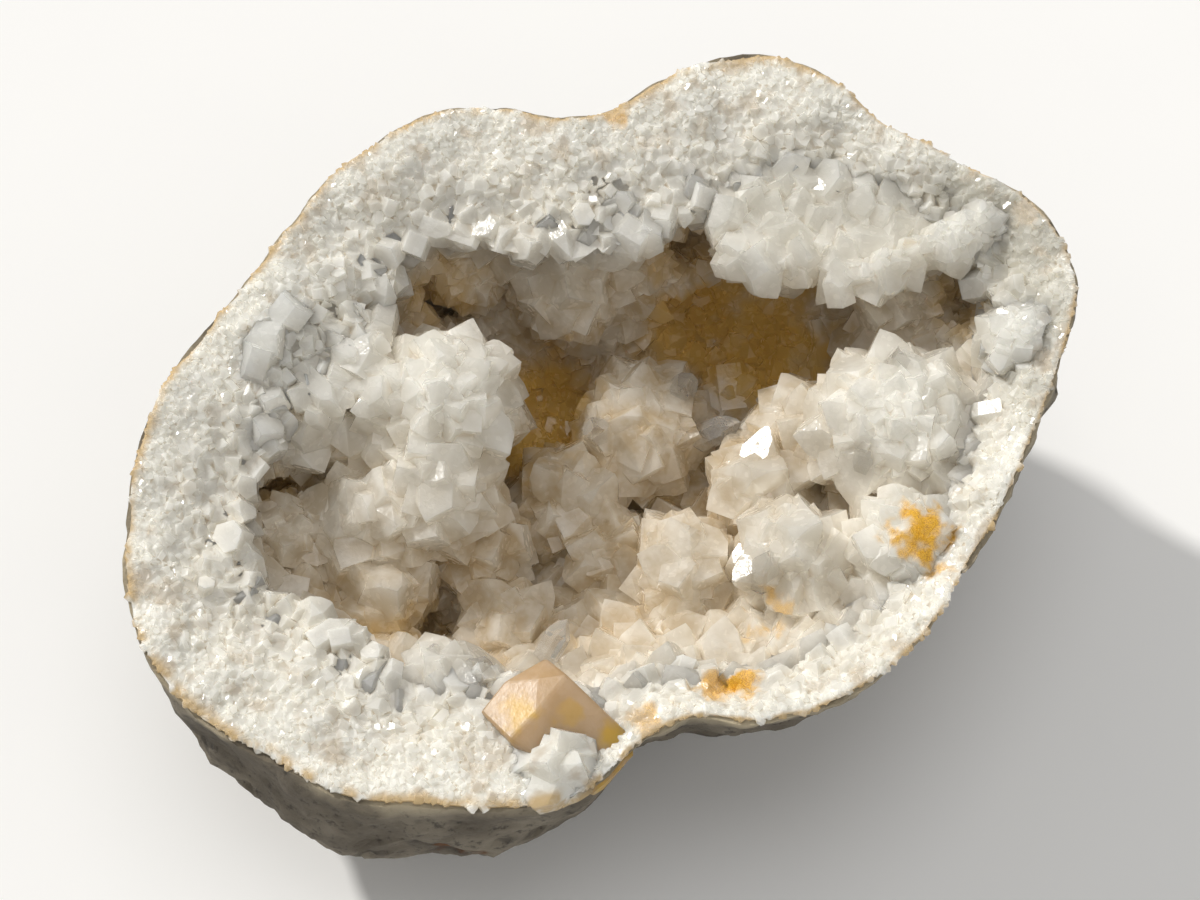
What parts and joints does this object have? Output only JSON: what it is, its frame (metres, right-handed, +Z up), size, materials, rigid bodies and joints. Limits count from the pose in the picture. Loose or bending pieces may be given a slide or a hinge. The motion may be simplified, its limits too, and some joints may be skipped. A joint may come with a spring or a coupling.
{
  "type": "geode half",
  "caption": "Half of a white quartz geode on its rounded back, a thick broken rim around a hollow lined with pointed crystals over rounded lobes.",
  "frame": {"origin": "middle of the stone's length and width, in the plane that it rests on", "axes": "+X along the longest side, +Z up out of the hollow, -Y towards the low side of the rim"},
  "size_m": [0.11, 0.0802, 0.0462],
  "materials": {
    "stone": "rough",
    "quartz": "frosted"
  },
  "bodies": {
    "root": {"shell": "stone", "crystal_crust": "quartz"}
  },
  "joints": []
}
